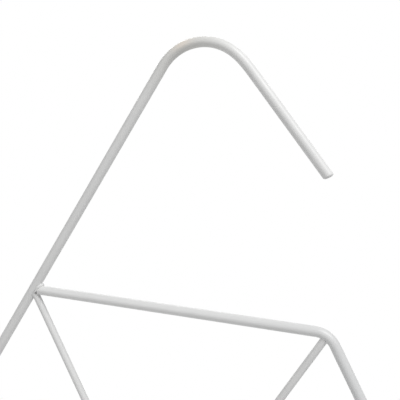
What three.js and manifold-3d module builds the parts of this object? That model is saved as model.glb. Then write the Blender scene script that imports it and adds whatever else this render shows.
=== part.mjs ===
// A coat hanger welded from coated round steel bar, in millimetres, with +Z up.
//
// It is a flat truss in the XZ plane: three equal triangles side by side, the middle one upside down.
// One long bar is the whole outline. It starts at the cut tip of the hook, goes over the hook bend, down
// the left side in one straight line, along the bottom and up the right side, and comes back along the
// beam to butt against its own left side. Two thinner braces divide the frame into the triangles.
// Every bar's centreline passes through the corners of the triangles. The origin is the point under the
// crown of the hook that rests on a rail.

import * as THREE from 'three';
import { mergeVertices } from 'three/addons/utils/BufferGeometryUtils.js';
import Module from 'manifold-3d';

// Driving dimensions
const triangleSide = 200; // side of each triangle, between the centrelines of the bars
const frameBar = 6.5; // diameter of the frame's bar with its coat
const braceBar = 4.8; // diameter of a brace with its coat
const shoulderRadius = 14; // radius of the right shoulder bend, at the centreline
const bottomRadius = 14; // radius of the two bottom bends, at the centreline
const shankLength = 174.6; // straight bar from the left shoulder to the start of the hook bend
const hookRadius = 31.3; // radius of the hook bend, at the centreline
const hookEase = 22.7; // length over which the hook bend opens out into the straight tip
const tipLength = 72.8; // straight bar from there to the cut end
const tipRim = 0.6; // chamfer round the cut end
const seatGap = 0.3; // gap between two pieces that touch
const beamWeldSize = 2.8; // thickness of the bead in the corner above the beam
const beamWeldRoot = 1.9; // thickness of the same bead where it runs out beside the beam
const braceWeldSize = 0.8; // thickness of the beads round the ends of the braces

// Angles in degrees
const triangleAngle = 60; // each corner of a triangle
const hookTurn = 109.6; // how far the bar turns over the hook

// Counts
const frameSides = 20; // flats round the frame's bar
const braceSides = 16; // flats round a brace
const beadSides = 8; // flats round a weld bead
const beadSteps = 24; // sections along a weld bead
const degreesPerSection = 6; // turn between two sections of a bend
const searchSteps = 40; // halvings when a bead looks for the surface that it lies on

// Colours and finish of the coat
const coatColour = 0xe6e6e3;
const coatRoughness = 0.45;
const coatMetalness = 0;

// Radii and directions that follow from the sizes above
const frameRadius = frameBar / 2;
const braceRadius = braceBar / 2;
const bentStep = THREE.MathUtils.degToRad(degreesPerSection);
const slope = THREE.MathUtils.degToRad(triangleAngle);
const hookArcTurn = THREE.MathUtils.degToRad(hookTurn) - easeAngle(hookEase, hookRadius);

// The angle that a bend turns through while it opens out steadily from a radius to straight over a length.
function easeAngle(ease, radius) {
  return ease / (2 * radius);
}

// A point of the frame's plane, from its place across and its height.
function planePoint(across, height) {
  return new THREE.Vector3(across, 0, height);
}

// The unit vector of the frame's plane that points at an angle above +X.
function heading(angle) {
  return planePoint(Math.cos(angle), Math.sin(angle));
}

// The point at a distance from a start along a direction.
function along(start, direction, distance) {
  return start.clone().addScaledVector(direction, distance);
}

// The corners of the triangles, with the origin under the crown of the hook. The crown lies straight
// above the centre of the hook bend, half a bar inside the bend's centreline.
const shankDirection = heading(slope);
const bendCentreFromShoulder = along(
  shankDirection.clone().multiplyScalar(shankLength),
  heading(slope - Math.PI / 2),
  hookRadius,
);
const leftShoulder = planePoint(0, frameRadius - hookRadius).sub(bendCentreFromShoulder);
const rightShoulder = along(leftShoulder, heading(0), triangleSide);
const bottomMiddle = along(leftShoulder, heading(-slope), triangleSide);

// Straight length that a bend takes from each of the two straights that it joins.
function tangentLength(radius, turn) {
  return radius * Math.tan(turn / 2);
}

// Walks along a bar's centreline and notes a section at each end of each straight and every few degrees
// of each bend. Every move is a straight run followed by a turn to the right on a radius. With an ease,
// the last part of the turn opens out steadily from the radius to straight over that length.
function walkCentreline(start, startAngle, moves) {
  const sections = [{ point: start.clone(), angle: startAngle }];
  let point = start.clone();
  let angle = startAngle;
  const note = () => sections.push({ point: point.clone(), angle });
  for (const { run, turn = 0, radius = 0, ease = 0 } of moves) {
    point = along(point, heading(angle), run);
    note();
    const steps = Math.ceil(turn / bentStep);
    for (let i = 0; i < steps; i += 1) {
      const part = turn / steps;
      const chord = 2 * radius * Math.sin(part / 2);
      point = along(point, heading(angle - part / 2), chord);
      angle -= part;
      note();
    }
    const fullEaseTurn = ease > 0 ? easeAngle(ease, radius) : 0;
    const easeSteps = Math.ceil(fullEaseTurn / bentStep) * 2;
    const firstAngle = angle;
    for (let i = 0; i < easeSteps; i += 1) {
      const done = (i + 1) / easeSteps;
      const middle = (i + 1 / 2) / easeSteps;
      const middleAngle = firstAngle - fullEaseTurn * (2 * middle - middle * middle);
      point = along(point, heading(middleAngle), ease / easeSteps);
      angle = firstAngle - fullEaseTurn * (2 * done - done * done);
      note();
    }
  }
  return sections;
}

// A centreline whose parameter runs evenly over its sections, however far apart they lie, so that bends
// get many sections and straights get two.
class BarLine extends THREE.Curve {
  constructor(sections) {
    super();
    this.sections = sections;
  }

  get steps() {
    return this.sections.length - 1;
  }

  getUtoTmapping(u) {
    return u;
  }

  getPoint(t, target = new THREE.Vector3()) {
    return target.copy(this.sections[Math.round(t * this.steps)].point);
  }

  getTangent(t, target = new THREE.Vector3()) {
    return target.copy(heading(this.sections[Math.round(t * this.steps)].angle));
  }
}

// A round section with flat sides, as a shape to sweep.
function roundSection(radius, sides) {
  const corners = Array.from({ length: sides }, (_, i) => {
    const angle = (2 * Math.PI * i) / sides;
    return new THREE.Vector2(radius * Math.cos(angle), radius * Math.sin(angle));
  });
  return new THREE.Shape(corners);
}

// A round bar along a centreline.
function barAlong(line, radius, sides) {
  const options = { steps: line.steps, extrudePath: line, bevelEnabled: false };
  return new THREE.ExtrudeGeometry(roundSection(radius, sides), options);
}

// Solids are joined and cut as closed meshes with shared corners.
const wasm = await Module();
wasm.setup();

function solidOf(geometry) {
  const bare = geometry.clone();
  bare.deleteAttribute('normal');
  bare.deleteAttribute('uv');
  const merged = mergeVertices(bare);
  return new wasm.Manifold(
    new wasm.Mesh({
      numProp: 3,
      vertProperties: Float32Array.from(merged.attributes.position.array),
      triVerts: Uint32Array.from(merged.index.array),
    }),
  );
}

function geometryOf(solid) {
  const { vertProperties, triVerts } = solid.getMesh();
  const geometry = new THREE.BufferGeometry();
  geometry.setAttribute('position', new THREE.Float32BufferAttribute(vertProperties, 3));
  geometry.setIndex(Array.from(triVerts));
  geometry.computeVertexNormals();
  return geometry;
}

// Everything on one side of a plane near a point, as a block big enough to take off what lies there.
function blockBeyond(point, direction, reach) {
  const block = new THREE.BoxGeometry(reach, reach, reach);
  block.translate(0, 0, reach / 2);
  block.applyQuaternion(new THREE.Quaternion().setFromUnitVectors(new THREE.Vector3(0, 0, 1), direction));
  block.translate(point.x, point.y, point.z);
  return solidOf(block);
}

// The frame's bar, walked from the end of the beam to the tip of the hook. The beam starts where the
// middle of its mitred end clears the left side.
const roomRadius = frameRadius + seatGap;
const beamSetback = roomRadius / Math.sin(slope);
const beamStart = along(leftShoulder, heading(0), beamSetback);
const shoulderTangent = tangentLength(shoulderRadius, slope);
const bottomTangent = tangentLength(bottomRadius, Math.PI - slope);
const frameSections = walkCentreline(beamStart, 0, [
  { run: triangleSide - shoulderTangent - beamSetback, turn: slope, radius: shoulderRadius },
  { run: triangleSide - shoulderTangent - bottomTangent, turn: Math.PI - slope, radius: bottomRadius },
  { run: 2 * (triangleSide - bottomTangent), turn: Math.PI - slope, radius: bottomRadius },
  {
    run: triangleSide - bottomTangent + shankLength,
    turn: hookArcTurn,
    radius: hookRadius,
    ease: hookEase,
  },
  { run: tipLength - tipRim },
  { run: tipRim },
]);
const frameLine = new BarLine(frameSections);
const tipEnd = frameSections[frameSections.length - 1];

// Moves the corners of a bar's end face, each given as its offset from the middle of that face. The
// nearest other section of the bar lies a rim away.
function moveEndFace(geometry, middle, direction, move) {
  const places = geometry.attributes.position;
  for (let i = 0; i < places.count; i += 1) {
    const offset = new THREE.Vector3().fromBufferAttribute(places, i).sub(middle);
    const onFace = Math.abs(offset.dot(direction)) < tipRim / 2 && offset.length() < frameBar;
    if (onFace) {
      const moved = move(offset).add(middle);
      places.setXYZ(i, moved.x, moved.y, moved.z);
    }
  }
}

// The direction across the left side, towards the beam.
const acrossLeg = heading(slope - Math.PI / 2);

function frameRodSolid() {
  const bar = barAlong(frameLine, frameRadius, frameSides);
  // The start of the beam is mitred, so that its end face is parallel to the left side.
  moveEndFace(bar, beamStart, heading(0), (offset) =>
    along(offset, heading(0), -offset.dot(acrossLeg) / heading(0).dot(acrossLeg)),
  );
  // The cut end of the hook has its edge taken off.
  moveEndFace(bar, tipEnd.point, heading(tipEnd.angle), (offset) =>
    offset.multiplyScalar((frameRadius - tipRim) / frameRadius),
  );
  return solidOf(bar);
}

// A straight bar from one point of the frame's plane to another.
function straightBar(from, to, radius, sides) {
  const reach = to.clone().sub(from);
  const angle = Math.atan2(reach.z, reach.x);
  const line = new BarLine(walkCentreline(from, angle, [{ run: reach.length() }]));
  return solidOf(barAlong(line, radius, sides));
}

// The room that the frame's bar needs: the same bar, a gap thicker all round, with the beam carried on
// to the centreline of the left side.
function frameRoomSolid() {
  const clearOfLeg = along(beamStart, heading(0), frameBar);
  const sections = [{ point: clearOfLeg, angle: 0 }, ...frameSections.slice(1)];
  const beamEnd = straightBar(leftShoulder, along(clearOfLeg, heading(0), frameBar), roomRadius, frameSides);
  return solidOf(barAlong(new BarLine(sections), roomRadius, frameSides)).add(beamEnd);
}

const frameRoom = frameRoomSolid();

// What lies beyond the frame's middle plane, on the side that a direction points to.
function beyondMiddle(direction) {
  return blockBeyond(along(bottomMiddle, direction, -seatGap / 2), direction, 2 * triangleSide);
}

// A brace from a shoulder to the middle of the bottom bar. Its ends are shaped to the bars that they
// meet, and its foot is cut on the middle plane, where it meets the other brace.
function braceSolid(shoulder, inward) {
  const bar = straightBar(shoulder, bottomMiddle, braceRadius, braceSides);
  return bar.subtract(frameRoom).subtract(beyondMiddle(inward));
}

function braceRoom(shoulder) {
  return straightBar(shoulder, bottomMiddle, braceRadius + seatGap, braceSides);
}

// Distance from a point to the centreline of the frame's bar.
function distanceToFrame(point) {
  const nearest = new THREE.Vector3();
  const distances = frameSections.slice(1).map((section, i) => {
    const piece = new THREE.Line3(frameSections[i].point, section.point);
    return piece.closestPointToPoint(point, true, nearest).distanceTo(point);
  });
  return Math.min(...distances);
}

// The direction out of a loop of bead round an axis, at an angle from the frame's plane.
function outOfLoop(axis, around) {
  const inPlane = new THREE.Vector3(0, 1, 0).cross(axis);
  return inPlane.multiplyScalar(Math.cos(around)).add(new THREE.Vector3(0, Math.sin(around), 0));
}

// A closed loop of bead round an axis. Its centreline and its thickness are functions of the angle, and
// each section is a polygon that holds the axis and the way out of the loop.
function beadLoop(axis, centreAt, thicknessAt) {
  const places = [];
  const corners = [];
  for (let i = 0; i < beadSteps; i += 1) {
    const around = (2 * Math.PI * i) / beadSteps;
    const radius = thicknessAt(around) / 2;
    for (let j = 0; j < beadSides; j += 1) {
      const turn = (2 * Math.PI * j) / beadSides;
      const place = along(centreAt(around), outOfLoop(axis, around), radius * Math.cos(turn));
      places.push(...along(place, axis, radius * Math.sin(turn)));
      const here = i * beadSides;
      const next = ((i + 1) % beadSteps) * beadSides;
      const after = (j + 1) % beadSides;
      corners.push(here + j, next + j, next + after, here + j, next + after, here + after);
    }
  }
  return new wasm.Manifold(
    new wasm.Mesh({
      numProp: 3,
      vertProperties: Float32Array.from(places),
      triVerts: Uint32Array.from(corners),
    }),
  );
}

// The bead round the end of a brace. Its centreline lies half its thickness off the brace and off the
// frame's bar, found by halving along lines that run beside the brace.
function braceBead(end, farEnd) {
  const axis = farEnd.clone().sub(end).normalize();
  const lift = braceWeldSize / 2;
  const centreAt = (around) => {
    const beside = along(end, outOfLoop(axis, around), braceRadius + lift);
    let inside = 0;
    let outside = triangleSide / 2;
    for (let i = 0; i < searchSteps; i += 1) {
      const middle = (inside + outside) / 2;
      const isClear = distanceToFrame(along(beside, axis, middle)) > frameRadius + lift;
      [inside, outside] = isClear ? [inside, middle] : [middle, outside];
    }
    return along(beside, axis, outside);
  };
  const bead = beadLoop(axis, centreAt, () => braceWeldSize);
  return bead.subtract(frameRoom);
}

function braceTopBead(shoulder) {
  return braceBead(shoulder, bottomMiddle).subtract(braceRoom(shoulder));
}

function braceFootBead(shoulder, otherShoulder, inward) {
  const bead = braceBead(bottomMiddle, shoulder).subtract(braceRoom(shoulder));
  return bead.subtract(braceRoom(otherShoulder)).subtract(beyondMiddle(inward));
}

// The bead round the end of the beam. It lies in the groove between the rim of that flat end and the
// round side of the bar that it meets, halfway across. It is thickest in the sharp corner above the beam,
// thins out beside it, and ends above the brace.
function beamBead() {
  const centre = along(beamStart, acrossLeg, -beamStart.clone().sub(leftShoulder).dot(acrossLeg));
  const topShare = (around) => (1 - Math.cos(around)) / 2;
  const thicknessAt = (around) => THREE.MathUtils.lerp(beamWeldRoot, beamWeldSize, topShare(around));
  const centreAt = (around) => {
    const out = outOfLoop(acrossLeg, around);
    const up = (out.dot(shankDirection) * roomRadius) / Math.sin(slope);
    const rim = acrossLeg.clone().multiplyScalar(roomRadius).setY(out.y * frameRadius);
    const halfway = (rim.length() + frameRadius) / 2;
    return along(centre, shankDirection, up).add(rim.setLength(halfway));
  };
  const reach = 2 * frameBar;
  const legRoom = straightBar(
    along(leftShoulder, shankDirection, -reach),
    along(leftShoulder, shankDirection, reach),
    roomRadius,
    frameSides,
  );
  const beamRoom = straightBar(
    leftShoulder,
    along(leftShoulder, heading(0), 2 * reach),
    roomRadius,
    frameSides,
  ).subtract(blockBeyond(along(leftShoulder, acrossLeg, frameRadius), acrossLeg.clone().negate(), reach));
  const below = blockBeyond(leftShoulder, shankDirection.clone().negate(), reach);
  return beadLoop(acrossLeg, centreAt, thicknessAt).subtract(legRoom).subtract(beamRoom).subtract(below);
}

// A named sub-part with a coat of its own.
function piece(name, solid) {
  const coat = new THREE.MeshStandardMaterial({
    color: coatColour,
    roughness: coatRoughness,
    metalness: coatMetalness,
  });
  const mesh = new THREE.Mesh(geometryOf(solid), coat);
  mesh.name = name;
  return mesh;
}

const right = heading(0);
const left = heading(Math.PI);

const hanger = new THREE.Group();
hanger.add(
  piece('frame_rod', frameRodSolid()),
  piece('left_brace', braceSolid(leftShoulder, right)),
  piece('right_brace', braceSolid(rightShoulder, left)),
  piece('beam_weld', beamBead()),
  piece('left_brace_top_weld', braceTopBead(leftShoulder)),
  piece('right_brace_top_weld', braceTopBead(rightShoulder)),
  piece('left_brace_foot_weld', braceFootBead(leftShoulder, rightShoulder, right)),
  piece('right_brace_foot_weld', braceFootBead(rightShoulder, leftShoulder, left)),
);

export default hanger;
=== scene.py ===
"""Dresses a coat hanger of coated, welded round bar. Lengths are in metres.

The hanger is a flat truss in the XZ plane: three equal triangles side by side, the middle one upside down.
One long bar is the whole outline, from the cut end of the beam round the truss and up the left side to the
tip of the hook. Two thinner braces divide it. The origin lies under the crown of the hook.
"""

import math

import bpy
import numpy as np
from bpy.props import FloatProperty, FloatVectorProperty, PointerProperty
from bpy.types import Operator, Panel, PropertyGroup
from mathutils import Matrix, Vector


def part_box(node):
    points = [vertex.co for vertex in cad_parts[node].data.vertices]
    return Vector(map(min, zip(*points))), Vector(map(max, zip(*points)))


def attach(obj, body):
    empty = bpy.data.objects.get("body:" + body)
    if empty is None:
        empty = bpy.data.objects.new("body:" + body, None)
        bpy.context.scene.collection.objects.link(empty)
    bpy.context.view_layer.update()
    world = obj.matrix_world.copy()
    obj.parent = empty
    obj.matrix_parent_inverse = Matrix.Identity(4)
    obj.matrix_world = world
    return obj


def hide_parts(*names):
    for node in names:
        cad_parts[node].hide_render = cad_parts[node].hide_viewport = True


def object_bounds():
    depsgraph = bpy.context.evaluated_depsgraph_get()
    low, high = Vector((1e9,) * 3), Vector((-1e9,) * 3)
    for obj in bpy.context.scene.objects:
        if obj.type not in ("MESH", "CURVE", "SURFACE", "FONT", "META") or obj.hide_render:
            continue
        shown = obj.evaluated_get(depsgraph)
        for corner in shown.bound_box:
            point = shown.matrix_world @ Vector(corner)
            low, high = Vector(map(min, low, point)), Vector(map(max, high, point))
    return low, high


bl_info = {
    "name": "Welded Coat Hanger",
    "version": (1, 0, 0),
    "blender": (4, 5, 0),
    "location": "View3D > Sidebar > Hanger",
    "description": "Builds a coat hanger of coated round bar, its welds, its coat and a small studio",
    "category": "Add Mesh",
}

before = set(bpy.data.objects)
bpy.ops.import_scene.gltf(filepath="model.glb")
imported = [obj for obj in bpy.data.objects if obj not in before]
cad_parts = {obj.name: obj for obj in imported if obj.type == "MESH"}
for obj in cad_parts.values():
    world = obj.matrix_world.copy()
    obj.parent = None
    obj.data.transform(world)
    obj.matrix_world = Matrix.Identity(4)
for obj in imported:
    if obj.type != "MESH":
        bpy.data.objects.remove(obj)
cad_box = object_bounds()

# Turn of each corner of the truss
CORNER = math.radians(60)

# Longest straight step along a bar, and largest turn of one step in a bend
RUN_STEP = 0.004
TURN_STEP = math.radians(2)

# Points round the outline's bar, a brace and a bead
SIDES = 48
BRACE_SIDES = 36
BEAD_SIDES = 18

# Steps along a bead and over the round edge of an end, and how often a search halves its range
BEAD_STEPS = 120
ROUND_STEPS = 5
HALVINGS = 40

# Radius of the inner ring of an end, as a share of that of its flat middle
INNER_RING_SHARE = 0.5

# How much the bar swells across the plane of a bend, as a share of how much it flattens in it
BEND_SWELL_SHARE = 0.5

# Plain bar between the rounding of the tip's cut end and the ring before it
TIP_COLLAR = 0.0008

# Painted shade, a darker coat colour where shade falls: how far from the left shoulder it can lie between the
# beam and the left side, and its share on the rounded edge of the tip's cut end
SHOULDER_REACH = 0.05
TIP_RIM_SHADE_SHARE = 0.6

# Painted shade on the right slope, where less light falls: how far along the bar its middle lies, and its
# width, as shares of a triangle's side
SLOPE_SHADE_MIDDLE_SHARE = 1.5
SLOPE_SHADE_WIDTH_SHARE = 0.7

# Warm patch on the hook's left shoulder: how far its side of the bar faces out of the hook bend and to the
# front, how fast its share grows with how much a point faces that way, and by how much less it starts
WARM_PATCH_OUT = 0.7
WARM_PATCH_FRONT = 0.71
WARM_PATCH_GAIN = 1.8
WARM_PATCH_START = 0.6

# Width of the darker band of coat round the warm patch, as a share of the patch's length
DARKER_BAND_WIDTH_SHARE = 2.2

# Ripples of a bead: how far the scales lean, and the shares of the scales and of the swells
SCALE_LEAN = 0.6
SCALE_SHARE = 0.6
SWELL_SHARE = 0.5

# For each swell its height, its waves in one ripple, and how much the bead's seed shifts it
SWELLS = ((1, 0.37, 1), (0.7, 0.23, 2.1))

# Beads of the braces: the first one's seed, and how far their middles keep off the outline's bar, as a share
# of their radius
BRACE_BEAD_SEED = 0.7
BRACE_BEAD_OFF_SHARE = 0.1

# Bead of the beam: the length and the height of its ripples as shares of those of the braces' beads, its
# seed, and the power with which it closes at both ends
BEAM_PITCH_SHARE = 1.6
BEAM_RIPPLE_SHARE = 0.6
BEAM_BEAD_SEED = 1.3
BEAM_CLOSING = 8

# Seeds of the coat's noises on the outline's bar, the braces and the beads, and how much thin coat is added
# on the beads
BAR_COAT_SEED = 3.0
BRACE_COAT_SEED = 11.0
WELD_COAT_SEED = 23.0
WELD_THIN_SHARE = 0.1

# Detail of the coat's clouds, and of its dimples and grain
CLOUD_DETAIL = 3
FINE_DETAIL = 2

# Values of the clouds between which thin coat grows, and by how much
THIN_RANGE = (0.35, 0.7)
THIN_SHARE = 0.7

# Values of the clouds between which the roughness grows, and by how much on each side of its mean
ROUGH_RANGE = (0.3, 0.7)
ROUGH_SWING = 0.05

# Index of refraction of the coat
COAT_IOR = 1.5

# Colour sockets among the inputs and the outputs of the Mix node
MIX_INPUTS = (6, 7)
MIX_OUTPUT = 2

# Points along each side of the floor, and its roughness
FLOOR_POINTS = 5
FLOOR_ROUGHNESS = 0.9

# Width of the camera's sensor, in millimetres, and how near the camera sees
SENSOR_WIDTH = 36
NEAREST_SIGHT = 0.01

# White of the sky's light, and of what is seen past the hanger
WHITE = (1, 1, 1, 1)


def bar_size(node):
    """Diameter of a straight or flat bar, from the depth of its box."""
    low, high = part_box(node)
    return high.y - low.y


class HangerBars(PropertyGroup):
    """Sizes of the bent bar and of the braces."""

    triangle_side: FloatProperty(
        name="Triangle side", description="Side of each triangle, between centrelines",
        default=0.2, min=0.1, unit="LENGTH")
    frame_bar: FloatProperty(
        name="Frame bar", description="Diameter of the outline's bar with its coat",
        default=bar_size("frame_rod"), min=0.003, precision=4, unit="LENGTH")
    brace_bar: FloatProperty(
        name="Brace bar", description="Diameter of a brace with its coat",
        default=bar_size("left_brace"), min=0.002, precision=4, unit="LENGTH")
    bend_radius: FloatProperty(
        name="Bend radius", description="Radius of the truss's three bends, at the centreline",
        default=0.014, min=0.008, precision=4, unit="LENGTH")
    shank_length: FloatProperty(
        name="Shank", description="Straight bar from the left shoulder to the hook bend",
        default=0.1746, min=0.05, precision=4, unit="LENGTH")
    hook_radius: FloatProperty(
        name="Hook radius", description="Radius of the hook bend, at the centreline",
        default=0.0313, min=0.01, precision=4, unit="LENGTH")
    hook_turn: FloatProperty(
        name="Hook turn", description="How far the bar turns over the hook",
        default=math.radians(109.6), min=math.radians(90), subtype="ANGLE")
    hook_ease: FloatProperty(
        name="Hook ease", description="Length over which the hook bend opens out into the tip",
        default=0.0227, min=0.005, precision=4, unit="LENGTH")
    tip_length: FloatProperty(
        name="Tip", description="Straight bar from the hook bend to the cut end",
        default=0.073, min=0.01, precision=4, unit="LENGTH")
    tip_rim: FloatProperty(
        name="Tip rim", description="Width of the rounding of the cut end's edge",
        default=0.003, min=0.0001, precision=4, unit="LENGTH")
    tip_dome: FloatProperty(
        name="Tip dome", description="How far the cut end's middle stands out from its edge",
        default=0.0013, min=0.0001, precision=4, unit="LENGTH")
    tip_slant: FloatProperty(
        name="Tip slant", description="How far the cut end leans from square",
        default=math.radians(9), min=0, max=math.radians(30), subtype="ANGLE")
    beam_rim: FloatProperty(
        name="Beam rim", description="Rounding of the edge of the beam's welded end",
        default=0.0005, min=0.0001, precision=4, unit="LENGTH")
    beam_notch: FloatProperty(
        name="Beam notch", description="How far the lower corner of the beam's end is cut back",
        default=0.0001, min=0, precision=4, unit="LENGTH")
    brace_rim: FloatProperty(
        name="Brace rim", description="Rounding of the edges of the braces' ends",
        default=0.0005, min=0.0001, precision=4, unit="LENGTH")
    bend_squeeze: FloatProperty(
        name="Bend squeeze", description="Share that a bend on the bar's own radius would flatten by",
        default=0.12, min=0, max=0.4, subtype="FACTOR")


class HangerWelds(PropertyGroup):
    """Sizes of the weld beads and of the crevices beside them, and the width of the painted shade there."""

    beam_bead: FloatProperty(
        name="Beam bead", description="Thickness of the bead in the corner above the beam",
        default=0.0024, min=0.001, precision=4, unit="LENGTH")
    beam_bead_end: FloatProperty(
        name="Beam bead's end", description="Thickness of the same bead where it runs out",
        default=0.0013, min=0.0005, precision=4, unit="LENGTH")
    beam_bead_out: FloatProperty(
        name="Beam bead's stand", description="How far the same bead's middle stands out of the corner",
        default=0.0009, min=0, precision=4, unit="LENGTH")
    beam_bead_reach: FloatProperty(
        name="Beam bead's reach", description="How far round the beam the same bead reaches on each side",
        default=math.radians(130), min=0, max=math.radians(150), subtype="ANGLE")
    brace_bead: FloatProperty(
        name="Brace bead", description="Thickness of the beads round the ends of the braces",
        default=0.0007, min=0.0002, precision=4, unit="LENGTH")
    bead_sink: FloatProperty(
        name="Bead sink", description="How deep these beads' middles lie, as a share of half their thickness",
        default=0.4, min=0, max=2, subtype="FACTOR")
    brace_sink: FloatProperty(
        name="Brace sink", description="How far the braces' ends are fused into the outline's bar",
        default=0.0004, min=0, precision=5, unit="LENGTH")
    ripple: FloatProperty(
        name="Ripple", description="Share of a bead's thickness that its ripples take",
        default=0.14, min=0, max=0.5, subtype="FACTOR")
    ripple_pitch: FloatProperty(
        name="Ripple pitch", description="Length of one ripple along a bead",
        default=0.0011, min=0.0004, precision=4, unit="LENGTH")
    crevice: FloatProperty(
        name="Crevice", description="Gap between the feet of the two braces",
        default=0.00025, min=0, precision=5, unit="LENGTH")
    # Width of the painted shade beside a crevice, a darker coat colour where shade falls
    crevice_shade: FloatProperty(
        name="Crevice shade", description="Width of the dark coat beside a crevice",
        default=0.0003, min=0.0001, precision=5, unit="LENGTH")


class HangerCoat(PropertyGroup):
    """Colours and surface of the powder coat, with the colours of its painted shade."""

    colour: FloatVectorProperty(
        name="Coat", description="Colour of the coat", subtype="COLOR",
        default=(0.8, 0.8, 0.795), min=0, max=1)
    thin_colour: FloatVectorProperty(
        name="Thin coat", description="Colour of the coat where it lies thin", subtype="COLOR",
        default=(0.76, 0.762, 0.76), min=0, max=1)
    # Painted shade: darker coat colour laid in the crevices beside the braces and the beam's end, and on the
    # tip's rounded rim
    crevice_colour: FloatVectorProperty(
        name="Crevice coat", description="Colour of the coat down in a crevice", subtype="COLOR",
        default=(0.64, 0.643, 0.646), min=0, max=1)
    # Painted shade: cooler, darker coat colour laid on the right slope of the truss, where less light falls
    slope_shade_colour: FloatVectorProperty(
        name="Greyed coat", description="Colour of the coat where hands have greyed it", subtype="COLOR",
        default=(0.704, 0.711, 0.714), min=0, max=1)
    # Darker, slightly warm coat colour in a band round the warm patch
    darker_band_colour: FloatVectorProperty(
        name="Worn coat", description="Colour of the coat round the rubbed patch", subtype="COLOR",
        default=(0.692, 0.689, 0.666), min=0, max=1)
    # Warm tint on one side of the hook's left shoulder
    warm_patch_colour: FloatVectorProperty(
        name="Rubbed coat", description="Colour of the coat where the hook has rubbed", subtype="COLOR",
        default=(0.8, 0.74, 0.67), min=0, max=1)
    warm_patch_turn: FloatProperty(
        name="Rubbed turn", description="How far round the hook from its start the rubbed patch lies",
        default=math.radians(36), min=0, subtype="ANGLE")
    warm_patch_length: FloatProperty(
        name="Rubbed length", description="Length of the rubbed patch along the bar",
        default=0.012, min=0.001, precision=4, unit="LENGTH")
    roughness: FloatProperty(
        name="Roughness", description="Roughness of the coat",
        default=0.44, min=0.1, max=1, subtype="FACTOR")
    cloud_width: FloatProperty(
        name="Cloud width", description="Width of the soft clouds in the coat's colour",
        default=0.018, min=0.001, precision=4, unit="LENGTH")
    peel_width: FloatProperty(
        name="Peel width", description="Width of the dimples of the coat",
        default=0.0013, min=0.0002, precision=4, unit="LENGTH")
    peel_depth: FloatProperty(
        name="Peel depth", description="Depth of the dimples of the coat",
        default=0.000015, min=0, precision=6, unit="LENGTH")
    grain_width: FloatProperty(
        name="Grain width", description="Width of the coat's finest grain",
        default=0.0003, min=0.0001, precision=5, unit="LENGTH")
    grain_depth: FloatProperty(
        name="Grain depth", description="Depth of the coat's finest grain",
        default=0.000004, min=0, precision=6, unit="LENGTH")


class HangerStage(PropertyGroup):
    """Floor, lamps and camera."""

    floor_drop: FloatProperty(
        name="Floor drop", description="Height of the hanger above the floor",
        default=0.2, min=0.001, unit="LENGTH")
    floor_size: FloatProperty(
        name="Floor size", description="Length of the floor's sides", default=12, min=2, unit="LENGTH")
    floor_colour: FloatVectorProperty(
        name="Floor", description="Colour of the floor", subtype="COLOR",
        default=(0.8, 0.8, 0.8), min=0, max=1)
    floor_lift: FloatProperty(
        name="Floor lift", description="White that the camera sees added to the floor under the hanger",
        default=0.345, min=0, max=1, subtype="FACTOR")
    lift_near: FloatProperty(
        name="Lift near", description="How far from under the hook the floor starts to turn white",
        default=0.3, min=0, unit="LENGTH")
    lift_far: FloatProperty(
        name="Lift far", description="How far from under the hook the floor is plain white",
        default=0.75, min=0, unit="LENGTH")
    sky: FloatProperty(
        name="Sky", description="Strength of the even light from all round", default=0.2, min=0)
    lamp_size: FloatProperty(
        name="Lamp size", description="Side of each soft lamp", default=0.8, min=0.05, unit="LENGTH")
    lamp_distance: FloatProperty(
        name="Lamp distance", description="From each lamp to the hanger's middle",
        default=1.7, min=0.5, unit="LENGTH")
    main_power: FloatProperty(
        name="Main power", description="Power of the main lamp", default=20.6, min=0, unit="POWER")
    main_azimuth: FloatProperty(
        name="Main azimuth", description="How far the main lamp stands round to the right",
        default=math.radians(60), subtype="ANGLE")
    main_elevation: FloatProperty(
        name="Main elevation", description="How far the main lamp looks down",
        default=math.radians(55), subtype="ANGLE")
    fill_power: FloatProperty(
        name="Fill power", description="Power of the fill lamp", default=5, min=0, unit="POWER")
    fill_azimuth: FloatProperty(
        name="Fill azimuth", description="How far the fill lamp stands round to the right",
        default=math.radians(-30), subtype="ANGLE")
    fill_elevation: FloatProperty(
        name="Fill elevation", description="How far the fill lamp looks down",
        default=math.radians(25), subtype="ANGLE")
    back_power: FloatProperty(
        name="Back power", description="Power of the lamp behind the hanger",
        default=5.5, min=0, unit="POWER")
    back_azimuth: FloatProperty(
        name="Back azimuth", description="How far the back lamp stands round to the right",
        default=math.radians(-150), subtype="ANGLE")
    back_elevation: FloatProperty(
        name="Back elevation", description="How far the back lamp looks down",
        default=math.radians(25), subtype="ANGLE")
    lens: FloatProperty(
        name="Lens", description="Focal length on a sensor 36 mm wide", default=66.6, min=20, unit="CAMERA")
    azimuth: FloatProperty(
        name="Azimuth", description="How far the camera stands round to the right",
        default=math.radians(18.693), subtype="ANGLE")
    elevation: FloatProperty(
        name="Elevation", description="How far the camera looks down",
        default=math.radians(8.439), subtype="ANGLE")
    roll: FloatProperty(
        name="Roll", description="How far the camera leans", default=math.radians(2.823), subtype="ANGLE")
    distance: FloatProperty(
        name="Distance", description="From the camera to the point that it looks at",
        default=0.4532, min=0.1, unit="LENGTH")
    aim_across: FloatProperty(
        name="Aim across", description="Where the camera looks, across", default=0.00116,
        precision=5, unit="LENGTH")
    aim_height: FloatProperty(
        name="Aim height", description="Where the camera looks, in height", default=-0.09182,
        precision=5, unit="LENGTH")


def heading(angle):
    """Unit vectors of the frame's plane that point at these angles above +X."""
    angle = np.asarray(angle, float)
    return np.stack([np.cos(angle), np.zeros_like(angle), np.sin(angle)], -1)


DEPTH = np.array([0.0, 1.0, 0.0])
RIGHT = heading(0)
SHANK = heading(CORNER)
ACROSS_SHANK = heading(CORNER - math.pi / 2)


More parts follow.
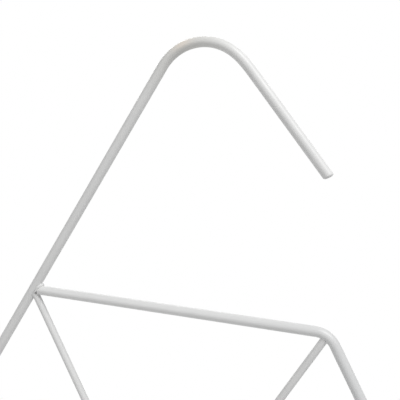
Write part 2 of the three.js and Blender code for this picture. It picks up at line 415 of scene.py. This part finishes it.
def walk(start, angle, moves):
    """Points, headings, bends and distances of a bar's centreline.

    Each move is a straight run and a turn to the right on a radius, whose last part may ease out to straight.
    The heading is the running sum of the turns of all steps. The place is the running sum of their lengths,
    each laid along the heading at the middle of its step. In an ease the turn falls off evenly to nothing.
    """
    lengths, turns = [], []
    for run, turn, radius, ease in moves:
        count = max(1, math.ceil(run / RUN_STEP))
        lengths.append(np.full(count, run / count))
        turns.append(np.zeros(count))
        if turn:
            count = math.ceil(turn / TURN_STEP)
            part = turn / count
            lengths.append(np.full(count, 2 * radius * math.sin(part / 2)))
            turns.append(np.full(count, part))
        if ease:
            full = ease / (2 * radius)
            count = 2 * math.ceil(full / TURN_STEP)
            done = np.linspace(0, 1, count + 1)
            lengths.append(np.full(count, ease / count))
            turns.append(np.diff(full * (2 * done - done * done)))
    lengths, turns = np.concatenate(lengths), np.concatenate(turns)
    angles = angle - np.concatenate([[0], np.cumsum(turns)])
    steps = lengths[:, None] * heading(angles[:-1] - turns / 2)
    points = start + np.concatenate([np.zeros((1, 3)), np.cumsum(steps, 0)])
    bends = turns / lengths
    bends = (np.append(bends, bends[-1]) + np.insert(bends, 0, bends[0])) / 2
    return points, angles, bends, np.concatenate([[0], np.cumsum(lengths)])


class Skeleton:
    """Corners of the truss and the centreline of the outline's bar."""

    def __init__(self, bars):
        radius, side = bars.frame_bar / 2, bars.triangle_side
        self.bar = radius
        self.brace = bars.brace_bar / 2
        centre_from_shoulder = bars.shank_length * SHANK + bars.hook_radius * ACROSS_SHANK
        self.left = np.array([0, 0, radius - bars.hook_radius]) - centre_from_shoulder
        self.right = self.left + side * RIGHT
        self.middle = self.left + side * heading(-CORNER)
        setback = radius / math.sin(CORNER)
        near = bars.bend_radius * math.tan(CORNER / 2)
        far = bars.bend_radius * math.tan((math.pi - CORNER) / 2)
        ease_turn = bars.hook_ease / (2 * bars.hook_radius)
        turned = math.pi - CORNER
        self.points, self.angles, self.bends, self.passed = walk(self.left + setback * RIGHT, 0, [
            (side - near - setback, CORNER, bars.bend_radius, 0),
            (side - near - far, turned, bars.bend_radius, 0),
            (2 * (side - far), turned, bars.bend_radius, 0),
            (side - far + bars.shank_length, bars.hook_turn - ease_turn, bars.hook_radius, bars.hook_ease),
            (bars.tip_length - bars.tip_dome, 0, 0, 0),
        ])
        # What is fitted to the bar keeps clear of this line, which carries the beam on to the left shoulder
        self.line = np.concatenate([[self.left], self.points])
        bend_depth = bars.bend_radius * (1 / math.cos(CORNER / 2) - 1)
        self.bend_middle = self.right + bend_depth * heading(-math.pi + CORNER)


def distance_to(line, points):
    """Least distance from each point to a line of straight pieces, found on all pieces at once."""
    start, reach = line[:-1], np.diff(line, axis=0)
    from_start = points[:, None] - start
    share = np.clip((from_start * reach).sum(-1) / (reach * reach).sum(-1), 0, 1)
    return np.linalg.norm(from_start - share[..., None] * reach, axis=-1).min(1)


def run_to(line, starts, way, reach, clearance):
    """How far each start can go one way before it is closer to a line than a clearance.

    The range from nothing to the reach is halved again and again for all starts at once.
    """
    low, high = np.zeros(len(starts)), np.full(len(starts), float(reach))
    for _ in range(HALVINGS):
        middle = (low + high) / 2
        clear = distance_to(line, starts + middle[:, None] * way) > clearance
        low, high = np.where(clear, middle, low), np.where(clear, high, middle)
    return low


def end_rings(radius, rim, depth):
    """Radii and setbacks of the rings of a flat end with a round edge, from its middle outwards.

    The edge is a quarter of an ellipse: the radius grows by the rim times the sine, and the setback by the
    depth times one minus the cosine.
    """
    turn = np.linspace(0, math.pi / 2, ROUND_STEPS + 1)
    flat = radius - rim
    radii = np.concatenate([[INNER_RING_SHARE * flat], flat + rim * np.sin(turn)])
    return radii, np.concatenate([[0], depth * (1 - np.cos(turn))])


def add_piece(name, rings, poles=(None, None), closed=False):
    """A closed mesh piece from rings of points, a grid of rings by places round each ring.

    Neighbouring rings are joined by four-sided faces. Each pole closes an end with a fan of triangles, or the
    last ring is joined to the first. If the enclosed volume comes out negative, all faces are turned round.
    """
    count, sides = rings.shape[:2]
    here = np.arange(sides)
    after = (here + 1) % sides
    rows = np.arange(count if closed else count - 1)[:, None] * sides
    next_rows = (rows + sides) % (count * sides)
    quads = np.stack([rows + here, rows + after, next_rows + after, next_rows + here], -1).reshape(-1, 4)
    places, fans = rings.reshape(-1, 3), []
    for pole, first, one, other in (
        (poles[0], 0, after, here),
        (poles[1], (count - 1) * sides, here, after),
    ):
        if pole is not None:
            fans += np.stack([first + one, first + other, np.full(sides, len(places))], -1).tolist()
            places = np.concatenate([places, [pole]])
    corners = places[quads]
    middle = places.mean(0)
    normals = np.cross(corners[:, 2] - corners[:, 0], corners[:, 3] - corners[:, 1])
    inside_out = ((corners.mean(1) - middle) * normals).sum() < 0
    faces = quads.tolist() + fans
    if inside_out:
        faces = [face[::-1] for face in faces]
    mesh = bpy.data.meshes.new(name)
    mesh.from_pydata(places, [], faces)
    mesh.polygons.foreach_set("use_smooth", np.ones(len(faces), bool))
    mesh.update()
    piece = bpy.data.objects.new(name, mesh)
    bpy.context.scene.collection.objects.link(piece)
    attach(piece, "root")
    return piece, places


def add_shares(piece, name, shares):
    """Stores a share from nothing to all on each point of a piece, for its coat to read."""
    attribute = piece.data.attributes.new(name, "FLOAT", "POINT")
    attribute.data.foreach_set("value", np.clip(shares, 0, 1).astype(np.float32))


def beside(gaps, width):
    """Share that falls off with a gap, as the exponential of minus the square of the gap in widths."""
    return np.exp(-np.square(np.maximum(gaps, 0) / width))


def shade_crevices(piece, places, passed, set_back, bars, welds, bones):
    """Stores the share of painted shade on each point of the outline's bar.

    The shade is painted beside the braces, on the beam's end beside the left side, and on the rounded edge of
    the tip's cut end, where shade falls. The arrays say where each point lies, how much of the bar comes
    before it, and how far behind the cut end it is set back.
    """
    width = welds.crevice_shade
    # Painted shade in the crevices beside the braces
    braces = [np.stack([bones.left, bones.middle]), np.stack([bones.bend_middle, bones.middle])]
    at_braces = np.max([beside(distance_to(line, places) - bones.brace, width) for line in braces], 0)
    # Painted shade in the groove between the beam's end and the left side
    side = np.stack([bones.left - SHOULDER_REACH * SHANK, bones.left + SHOULDER_REACH * SHANK])
    at_side = np.where(passed < SHOULDER_REACH, beside(distance_to(side, places) - bones.bar, width), 0)
    # Painted shade on the tip's rounded rim, which faces away from the light
    half_edge = bars.tip_dome / 2
    at_tip = TIP_RIM_SHADE_SHARE * beside(np.abs(set_back - half_edge), half_edge)
    add_shares(piece, "crevice", np.max([at_braces, at_side, at_tip], 0))


def paint_slope_shade_and_patch(piece, passed, facing, bars, coat, bones):
    """Stores the shares of the warm patch, the darker band round it and the painted slope shade on each point
    of the outline's bar.

    Round the hook's left shoulder the coat is darker and slightly warm all round and warm on one side, and
    the right slope of the truss gets painted shade, where less light falls. The arrays say how much of the
    bar comes before each point, and how much it faces the warm side.
    """
    arc_turn = bars.hook_turn - bars.hook_ease / (2 * bars.hook_radius)
    from_tip = bars.tip_length + bars.hook_ease + (arc_turn - coat.warm_patch_turn) * bars.hook_radius
    # A warm patch on one side of the hook's left shoulder, and a darker band of coat round it
    from_patch = np.abs(passed - bones.passed[-1] + from_tip)
    patch = beside(from_patch, coat.warm_patch_length / 2)
    add_shares(piece, "warm_patch", patch * np.clip(WARM_PATCH_GAIN * facing - WARM_PATCH_START, 0, 1))
    # Painted shade on the right slope of the truss, where less light falls
    from_slope = np.abs(passed - SLOPE_SHADE_MIDDLE_SHARE * bars.triangle_side)
    add_shares(piece, "slope_shade", beside(from_slope, SLOPE_SHADE_WIDTH_SHARE * bars.triangle_side))
    add_shares(piece, "darker_band", beside(from_patch, DARKER_BAND_WIDTH_SHARE * coat.warm_patch_length))


def build_frame_bar(bars, welds, coat):
    """The outline's bar: a circle carried along the centreline.

    The circle is squeezed in the plane of a bend and swells across it. The beam's first rings are sheared
    along the beam until they lie on a plane beside the left side, but no point lies before the notch: the
    start is the smooth maximum of the two, half their sum and half the root of their difference squared and
    the rim squared. The tip's last rings, a plain one and those that round off its edge, lean over together,
    each point by its height in the plane times the slant's tangent.
    """
    bones = Skeleton(bars)
    radius = bones.bar
    squeeze = bars.bend_squeeze * radius * bones.bends[1:-1]
    start_radii, start_set = end_rings(radius, bars.beam_rim, bars.beam_rim)
    tip_radii, tip_set = end_rings(radius, bars.tip_rim, bars.tip_dome)
    tip_radii, tip_set = np.append(tip_radii, radius), np.append(tip_set, bars.tip_dome + TIP_COLLAR)
    tip_out = heading(bones.angles[-1])
    points = np.concatenate([
        bones.points[0] + start_set[:, None] * RIGHT,
        bones.points[1:-1],
        bones.points[-1] + (bars.tip_dome - tip_set[::-1, None]) * tip_out,
    ])
    angles = np.concatenate([
        np.zeros(len(start_set)), bones.angles[1:-1], np.full(len(tip_set), bones.angles[-1])])
    inward = np.concatenate([start_radii, radius * (1 - squeeze), tip_radii[::-1]])
    sideways = np.concatenate([start_radii, radius * (1 + BEND_SWELL_SHARE * squeeze), tip_radii[::-1]])
    turn = np.linspace(0, 2 * math.pi, SIDES, endpoint=False)
    up = inward[:, None] * np.cos(turn)
    rings = (points[:, None] + up[..., None] * heading(angles + math.pi / 2)[:, None]
             + (sideways[:, None] * np.sin(turn))[..., None] * DEPTH)
    cut = len(start_set)
    slant = -up[:cut] * (heading(math.pi / 2) @ ACROSS_SHANK) / (RIGHT @ ACROSS_SHANK)
    beyond = slant - bars.beam_notch
    rings[:cut] += ((slant + bars.beam_notch + np.hypot(beyond, bars.beam_rim)) / 2)[..., None] * RIGHT
    leaning = len(tip_set)
    rings[-leaning:] += (math.tan(bars.tip_slant) * up[-leaning:])[..., None] * tip_out
    tip = bones.points[-1] + bars.tip_dome * tip_out
    piece, places = add_piece("frame_bar", rings, (rings[0].mean(0), tip))
    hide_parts("frame_rod")

    # Each ring's values go to all its points, and the two poles come last
    passed = np.concatenate([np.zeros(cut), bones.passed[1:-1], np.full(len(tip_set), bones.passed[-1])])
    passed = np.append(np.repeat(passed, SIDES), [0, bones.passed[-1]])
    set_back = np.append(np.full(len(points) - len(tip_set), radius), tip_set[::-1])
    set_back = np.append(np.repeat(set_back, SIDES), [radius, radius])
    facing = np.tile(WARM_PATCH_OUT * np.cos(turn) - WARM_PATCH_FRONT * np.sin(turn), len(points))
    shade_crevices(piece, places, passed, set_back, bars, welds, bones)
    paint_slope_shade_and_patch(piece, passed, np.append(facing, [0, 0]), bars, coat, bones)
    return piece


def build_brace(name, node, top, bars, welds, bones, inward):
    """A brace: a circle carried from the foot to the top, each end shaped to what it meets.

    Every point of the circle runs along the brace until it is just inside the outline's bar, or at the foot
    to half a crevice from the middle plane. The rings of each end start back from there by their round edge.
    """
    radius = bones.brace
    reach = top - bones.middle
    length = np.linalg.norm(reach)
    axis = reach / length
    inplane = np.cross(DEPTH, axis)
    turn = np.linspace(0, 2 * math.pi, BRACE_SIDES, endpoint=False)
    radii, setbacks = end_rings(radius, bars.brace_rim, bars.brace_rim)
    halfway = bones.middle + reach / 2
    around = np.cos(turn)[:, None] * inplane + np.sin(turn)[:, None] * DEPTH

    def end_runs(way, at_foot):
        """How far the rings of one end lie from halfway, for the middle and then for each ring."""
        all_radii = np.repeat(np.append(radii, 0), BRACE_SIDES)
        starts = halfway + all_radii[:, None] * np.tile(around, (len(radii) + 1, 1))
        runs = run_to(bones.line, starts, way, length / 2, bones.bar - welds.brace_sink)
        if at_foot:
            to_plane = ((bones.middle - welds.crevice / 2 * inward - starts) @ inward) / (way @ inward)
            runs = np.minimum(runs, to_plane)
        runs = runs.reshape(-1, BRACE_SIDES)
        return runs[:-1] - setbacks[:, None], runs[-1, 0]

    top_runs, top_middle = end_runs(axis, False)
    foot_runs, foot_middle = end_runs(-axis, True)
    straight = min(top_runs.min(), foot_runs.min()) - RUN_STEP
    stations = np.linspace(-straight, straight, math.ceil(2 * straight / RUN_STEP))
    runs = np.concatenate([-foot_runs, np.repeat(stations[:, None], BRACE_SIDES, 1), top_runs[::-1]])
    ring_radii = np.concatenate([radii, np.full(len(stations), radius), radii[::-1]])
    rings = halfway + ring_radii[:, None, None] * around + runs[..., None] * axis
    poles = (halfway - foot_middle * axis, halfway + top_middle * axis)
    piece, _ = add_piece(name, rings, poles)
    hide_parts(node)
    return piece


def ripples(passed, pitch, share, seed):
    """Thickness of a bead as shares of its mean: overlapping scales, and slow swells on top of them.

    The scales are a sine whose phase leans to and fro by its own sine. The swells are sines of odd lengths.
    """
    phase = 2 * math.pi * passed / pitch
    scales = np.sin(phase + SCALE_LEAN * np.sin(phase))
    swells = sum(height * np.sin(pace * phase + shift * seed) for height, pace, shift in SWELLS)
    return 1 + share * (SCALE_SHARE * scales + SWELL_SHARE * swells)


def build_brace_bead(name, node, end, far, welds, bones, seed):
    """A bead round the end of a brace: a small circle carried round the seam.

    The seam is where points just under the brace's surface come close to the outline's bar. The radius of the
    small circle follows the bead's ripples.
    """
    reach = end - far
    length = np.linalg.norm(reach)
    axis = reach / length
    inplane = np.cross(DEPTH, axis)
    size = welds.brace_bead / 2
    turn = np.linspace(0, 2 * math.pi, BEAD_STEPS, endpoint=False)
    around = np.cos(turn)[:, None] * inplane + np.sin(turn)[:, None] * DEPTH
    starts = far + reach / 2 + (bones.brace - welds.bead_sink * size) * around
    runs = run_to(bones.line, starts, axis, length / 2, bones.bar + BRACE_BEAD_OFF_SHARE * size)
    centres = starts + runs[:, None] * axis
    passed = turn * bones.brace
    sizes = size * ripples(passed, welds.ripple_pitch, welds.ripple, seed)
    section = np.linspace(0, 2 * math.pi, BEAD_SIDES, endpoint=False)
    rings = centres[:, None] + sizes[:, None, None] * (
        np.cos(section)[:, None] * around[:, None] + np.sin(section)[:, None] * axis)
    piece, _ = add_piece(name, rings, closed=True)
    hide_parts(node)
    return piece


def build_beam_bead(welds, bones):
    """The bead round the end of the beam: a circle carried over the groove beside its flat end.

    The circle's middle lies halfway between the rim of that end and the surface of the left side, and above
    the beam it stands out of the corner. Its radius is largest there, falls off from there with the square of
    the mean of one and the cosine, follows the bead's ripples, and closes to nothing at both ends as the root
    of one minus a high power does.
    """
    reach = welds.beam_bead_reach
    turn = np.linspace(-reach, reach, BEAD_STEPS + 2)[1:-1]
    radius = bones.bar
    centre = bones.left + math.cos(CORNER) * radius / math.sin(CORNER) * SHANK
    out = np.cos(turn)[:, None] * SHANK + np.sin(turn)[:, None] * DEPTH
    rim = radius * ACROSS_SHANK + np.sin(turn)[:, None] * radius * DEPTH
    rim_far = np.linalg.norm(rim, axis=1)
    rim *= ((rim_far + radius) / 2 / rim_far)[:, None]
    centres = centre + (np.cos(turn) * radius / math.sin(CORNER))[:, None] * SHANK + rim
    above = np.square((1 + np.cos(turn)) / 2)
    centres += welds.beam_bead_out * above[:, None] * heading(CORNER / 2)
    high, low = welds.beam_bead / 2, welds.beam_bead_end / 2
    sizes = low + (high - low) * above
    pitch, share = BEAM_PITCH_SHARE * welds.ripple_pitch, BEAM_RIPPLE_SHARE * welds.ripple
    sizes *= ripples((turn + reach) * radius, pitch, share, BEAM_BEAD_SEED)
    sizes *= np.sqrt(1 - (turn / reach) ** BEAM_CLOSING)
    section = np.linspace(0, 2 * math.pi, BEAD_SIDES, endpoint=False)
    rings = centres[:, None] + sizes[:, None, None] * (
        np.cos(section)[:, None] * out[:, None] + np.sin(section)[:, None] * ACROSS_SHANK)
    piece, _ = add_piece("beam_bead", rings, (centres[0], centres[-1]))
    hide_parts("beam_weld")
    return piece


class Nodes:
    """Small helper that adds and joins the nodes of one material."""

    def __init__(self, name):
        self.material = bpy.data.materials.new(name)
        self.material.use_nodes = True
        self.tree = self.material.node_tree
        self.shader = self.tree.nodes["Principled BSDF"]
        self.place = self.tree.nodes.new("ShaderNodeTexCoord").outputs["Object"]

    def join(self, output, target):
        """Joins an output to an input socket."""
        self.tree.links.new(output, target)

    def noise(self, width, detail, seed):
        """Noise on the object's own coordinates, shifted by a seed, with features of this width."""
        mapping = self.tree.nodes.new("ShaderNodeMapping")
        mapping.inputs["Location"].default_value = (seed, 2 * seed, 3 * seed)
        node = self.tree.nodes.new("ShaderNodeTexNoise")
        node.inputs["Scale"].default_value = 1 / width
        node.inputs["Detail"].default_value = detail
        self.join(self.place, mapping.inputs["Vector"])
        self.join(mapping.outputs["Vector"], node.inputs["Vector"])
        return node.outputs["Fac"]

    def spread(self, value, from_low, from_high, to_low, to_high):
        """Spreads a range of values over another."""
        node = self.tree.nodes.new("ShaderNodeMapRange")
        ends = {"From Min": from_low, "From Max": from_high, "To Min": to_low, "To Max": to_high}
        for socket, number in ends.items():
            node.inputs[socket].default_value = number
        self.join(value, node.inputs["Value"])
        return node.outputs["Result"]

    def mix(self, share, first, second):
        """Mixes two colours, each a value or an output."""
        node = self.tree.nodes.new("ShaderNodeMix")
        node.data_type = "RGBA"
        self.join(share, node.inputs["Factor"])
        for number, colour in zip(MIX_INPUTS, (first, second)):
            if isinstance(colour, bpy.types.NodeSocket):
                self.join(colour, node.inputs[number])
            else:
                node.inputs[number].default_value = (*colour, 1)
        return node.outputs[MIX_OUTPUT]

    def share(self, name):
        """The share that each point of the piece stores under a name."""
        node = self.tree.nodes.new("ShaderNodeAttribute")
        node.attribute_name = name
        return node.outputs["Fac"]

    def bump(self, height, depth, below=None):
        """Raises the surface by a height, on top of another bump."""
        node = self.tree.nodes.new("ShaderNodeBump")
        node.inputs["Distance"].default_value = depth
        self.join(height, node.inputs["Height"])
        if below is not None:
            self.join(below, node.inputs["Normal"])
        return node.outputs["Normal"]


def powder_coat(name, coat, seed, thin=0.0):
    """A satin powder coat: soft clouds of thinner coat, dimples and a fine grain.

    All patterns are noises on the object's coordinates. Thin adds more of the thinner coat. The other
    colours, painted shade in crevices and on the right slope, and the warm patch with its darker band, are
    laid over it, each by the share that a piece's points store for it. A piece that stores none goes without.
    """
    nodes = Nodes(name)
    clouds = nodes.noise(coat.cloud_width, CLOUD_DETAIL, seed)
    peel = nodes.noise(coat.peel_width, FINE_DETAIL, seed + 1)
    grain = nodes.noise(coat.grain_width, FINE_DETAIL, seed + 2)
    thinner = nodes.spread(clouds, *THIN_RANGE, thin, thin + THIN_SHARE)
    colour = nodes.mix(thinner, coat.colour, coat.thin_colour)
    # Painted shade (slope and crevices) and the warm patch with its darker band go over the coat's colour
    for shade in ("slope_shade", "darker_band", "warm_patch", "crevice"):
        colour = nodes.mix(nodes.share(shade), colour, getattr(coat, shade + "_colour"))
    nodes.join(colour, nodes.shader.inputs["Base Color"])
    smoothest, roughest = coat.roughness - ROUGH_SWING, coat.roughness + ROUGH_SWING
    nodes.join(nodes.spread(clouds, *ROUGH_RANGE, smoothest, roughest), nodes.shader.inputs["Roughness"])
    dimples = nodes.bump(peel, coat.peel_depth)
    nodes.join(nodes.bump(grain, coat.grain_depth, dimples), nodes.shader.inputs["Normal"])
    nodes.shader.inputs["IOR"].default_value = COAT_IOR
    return nodes.material


def settings():
    """The hanger's property groups."""
    return bpy.context.scene.hanger_bars, bpy.context.scene.hanger_welds, bpy.context.scene.hanger_coat


class HANGER_OT_frame_bar(Operator):
    """Build the bent bar that is the hanger's outline and hook"""

    bl_idname = "hanger.frame_bar"
    bl_label = "Build Frame Bar"

    def execute(self, context):
        bars, welds, coat = settings()
        piece = build_frame_bar(bars, welds, coat)
        piece.data.materials.append(powder_coat("coat_frame_bar", coat, BAR_COAT_SEED))
        return {"FINISHED"}


class HANGER_OT_braces(Operator):
    """Build the two thin braces of the truss"""

    bl_idname = "hanger.braces"
    bl_label = "Build Braces"

    def execute(self, context):
        bars, welds, coat = settings()
        bones = Skeleton(bars)
        material = powder_coat("coat_braces", coat, BRACE_COAT_SEED)
        for name, node, top, inward in (
            ("brace_left", "left_brace", bones.left, RIGHT),
            ("brace_right", "right_brace", bones.bend_middle, -RIGHT),
        ):
            piece = build_brace(name, node, top, bars, welds, bones, inward)
            piece.data.materials.append(material)
        return {"FINISHED"}


class HANGER_OT_welds(Operator):
    """Build the weld beads at the ends of the beam and of the braces"""

    bl_idname = "hanger.welds"
    bl_label = "Build Welds"

    def execute(self, context):
        bars, welds, coat = settings()
        bones = Skeleton(bars)
        material = powder_coat("coat_welds", coat, WELD_COAT_SEED, thin=WELD_THIN_SHARE)
        pieces = [build_beam_bead(welds, bones)]
        for number, (name, node, end, far) in enumerate((
            ("bead_left_top", "left_brace_top_weld", bones.left, bones.middle),
            ("bead_right_top", "right_brace_top_weld", bones.bend_middle, bones.middle),
            ("bead_left_foot", "left_brace_foot_weld", bones.middle, bones.left),
            ("bead_right_foot", "right_brace_foot_weld", bones.middle, bones.bend_middle),
        )):
            seed = BRACE_BEAD_SEED + number
            pieces.append(build_brace_bead(name, node, end, far, welds, bones, seed))
        for piece in pieces:
            piece.data.materials.append(material)
        return {"FINISHED"}


def bearing(azimuth, elevation):
    """Unit vector from the hanger to what stands round to its right by an azimuth and up by an elevation."""
    level = math.cos(elevation)
    return Vector((math.sin(azimuth) * level, -math.cos(azimuth) * level, math.sin(elevation)))


def add_lamp(name, place, aim, size, power):
    """A square soft lamp that faces a point."""
    lamp = bpy.data.lights.new(name, "AREA")
    lamp.size = size
    lamp.energy = power
    holder = bpy.data.objects.new(name, lamp)
    bpy.context.scene.collection.objects.link(holder)
    holder.location = place
    holder.rotation_euler = (aim - place).to_track_quat("-Z", "Y").to_euler()


def seen_directly(tree):
    """One for rays of the camera, of a reflection or through something clear, and nothing for other rays."""
    path = tree.nodes.new("ShaderNodeLightPath")
    total = path.outputs["Is Camera Ray"]
    for kind in ("Is Glossy Ray", "Is Transmission Ray"):
        largest = tree.nodes.new("ShaderNodeMath")
        largest.operation = "MAXIMUM"
        tree.links.new(total, largest.inputs[0])
        tree.links.new(path.outputs[kind], largest.inputs[1])
        total = largest.outputs[0]
    return total


def floor_paint(stage):
    """The floor's material, which is lifted to white where it is seen directly.

    Under the hanger its own lit colour and the lift come to about white, and the hanger's shadow stays.
    Further away it turns evenly into plain white, whatever light falls there.
    """
    nodes = Nodes("floor")
    seen = seen_directly(nodes.tree)
    nodes.shader.inputs["Base Color"].default_value = (*stage.floor_colour, 1)
    nodes.shader.inputs["Roughness"].default_value = FLOOR_ROUGHNESS
    nodes.shader.inputs["Emission Color"].default_value = WHITE
    nodes.join(nodes.spread(seen, 0, 1, 0, stage.floor_lift), nodes.shader.inputs["Emission Strength"])
    level = nodes.tree.nodes.new("ShaderNodeVectorMath")
    level.operation = "MULTIPLY"
    level.inputs[1].default_value = (1, 1, 0)
    nodes.join(nodes.place, level.inputs[0])
    away = nodes.tree.nodes.new("ShaderNodeVectorMath")
    away.operation = "LENGTH"
    nodes.join(level.outputs["Vector"], away.inputs[0])
    share = nodes.tree.nodes.new("ShaderNodeMath")
    share.operation = "MULTIPLY"
    nodes.join(seen, share.inputs[0])
    nodes.join(nodes.spread(away.outputs["Value"], stage.lift_near, stage.lift_far, 0, 1), share.inputs[1])
    white = nodes.tree.nodes.new("ShaderNodeEmission")
    white.inputs["Color"].default_value = WHITE
    blend = nodes.tree.nodes.new("ShaderNodeMixShader")
    nodes.join(share.outputs[0], blend.inputs["Fac"])
    nodes.join(nodes.shader.outputs["BSDF"], blend.inputs[1])
    nodes.join(white.outputs["Emission"], blend.inputs[2])
    nodes.join(blend.outputs["Shader"], nodes.tree.nodes["Material Output"].inputs["Surface"])
    # The floor lights nothing, so no light samples are spent on it
    nodes.material.cycles.emission_sampling = "NONE"
    return nodes.material


def build_floor(stage):
    """A square floor below the hanger, a plane of two parameters."""
    low, _ = cad_box
    edge = np.linspace(-1, 1, FLOOR_POINTS) * stage.floor_size / 2
    across, deep = np.meshgrid(edge, edge)
    height = np.full_like(across, low.z - stage.floor_drop)
    places = np.stack([across, deep, height], -1).reshape(-1, 3)
    cells = np.arange(FLOOR_POINTS - 1)
    first = (cells[:, None] * FLOOR_POINTS + cells).ravel()
    corners = first[:, None] + [0, 1, FLOOR_POINTS + 1, FLOOR_POINTS]
    mesh = bpy.data.meshes.new("floor")
    mesh.from_pydata(places, [], corners.tolist())
    floor = bpy.data.objects.new("floor", mesh)
    bpy.context.scene.collection.objects.link(floor)
    mesh.materials.append(floor_paint(stage))


def build_sky(stage):
    """Even light from all round, and plain white where the camera or a reflection sees past the floor."""
    world = bpy.data.worlds.new("studio")
    world.use_nodes = True
    bpy.context.scene.world = world
    tree = world.node_tree
    light = tree.nodes["Background"]
    light.inputs["Color"].default_value = WHITE
    light.inputs["Strength"].default_value = stage.sky
    white = tree.nodes.new("ShaderNodeBackground")
    white.inputs["Color"].default_value = WHITE
    choice = tree.nodes.new("ShaderNodeMixShader")
    tree.links.new(seen_directly(tree), choice.inputs["Fac"])
    tree.links.new(light.outputs["Background"], choice.inputs[1])
    tree.links.new(white.outputs["Background"], choice.inputs[2])
    tree.links.new(choice.outputs["Shader"], tree.nodes["World Output"].inputs["Surface"])


def build_camera(stage):
    """A camera that stands back from its aim by an azimuth and an elevation, and leans by its roll."""
    camera = bpy.data.cameras.new("camera")
    camera.lens = stage.lens
    camera.sensor_width = SENSOR_WIDTH
    camera.clip_start = NEAREST_SIGHT
    holder = bpy.data.objects.new("camera", camera)
    bpy.context.scene.collection.objects.link(holder)
    back = bearing(stage.azimuth, stage.elevation)
    holder.location = Vector((stage.aim_across, 0, stage.aim_height)) + stage.distance * back
    turn = (-back).to_track_quat("-Z", "Y").to_matrix().to_4x4()
    holder.rotation_euler = (turn @ Matrix.Rotation(stage.roll, 4, "Z")).to_euler()
    bpy.context.scene.camera = holder


class HANGER_OT_stage(Operator):
    """Build the floor, the lamps, the sky and the camera"""

    bl_idname = "hanger.stage"
    bl_label = "Build Stage"

    def execute(self, context):
        stage = context.scene.hanger_stage
        context.scene.view_settings.view_transform = "Standard"
        build_floor(stage)
        build_sky(stage)
        build_camera(stage)
        middle = Vector([(low + high) / 2 for low, high in zip(*cad_box)])
        for name, azimuth, elevation, power in (
            ("main_lamp", stage.main_azimuth, stage.main_elevation, stage.main_power),
            ("fill_lamp", stage.fill_azimuth, stage.fill_elevation, stage.fill_power),
            ("back_lamp", stage.back_azimuth, stage.back_elevation, stage.back_power),
        ):
            away = stage.lamp_distance * bearing(azimuth, elevation)
            add_lamp(name, middle + away, middle, stage.lamp_size, power)
        return {"FINISHED"}


class HANGER_PT_panel(Panel):
    """Lists the hanger's sizes, colours and steps"""

    bl_idname = "HANGER_PT_panel"
    bl_label = "Coat Hanger"
    bl_space_type = "VIEW_3D"
    bl_region_type = "UI"
    bl_category = "Hanger"

    def draw(self, context):
        for group in GROUPS:
            box = self.layout.box()
            values = getattr(context.scene, group)
            for name in values.__annotations__:
                box.prop(values, name)
        for operator in (HANGER_OT_frame_bar, HANGER_OT_braces, HANGER_OT_welds, HANGER_OT_stage):
            self.layout.operator(operator.bl_idname)


CLASSES = (
    HangerBars, HangerWelds, HangerCoat, HangerStage,
    HANGER_OT_frame_bar, HANGER_OT_braces, HANGER_OT_welds, HANGER_OT_stage, HANGER_PT_panel,
)
GROUPS = {
    "hanger_bars": HangerBars,
    "hanger_welds": HangerWelds,
    "hanger_coat": HangerCoat,
    "hanger_stage": HangerStage,
}


def register():
    """Registers the classes and hangs the property groups on the scene."""
    for cls in CLASSES:
        bpy.utils.register_class(cls)
    for name, group in GROUPS.items():
        setattr(bpy.types.Scene, name, PointerProperty(type=group))


def unregister():
    """Takes the property groups off the scene and unregisters the classes."""
    for name in GROUPS:
        delattr(bpy.types.Scene, name)
    for cls in reversed(CLASSES):
        bpy.utils.unregister_class(cls)


def main():
    """Builds the whole scene."""
    register()
    bpy.ops.hanger.frame_bar()
    bpy.ops.hanger.braces()
    bpy.ops.hanger.welds()
    bpy.ops.hanger.stage()


if __name__ == "__main__":
    main()
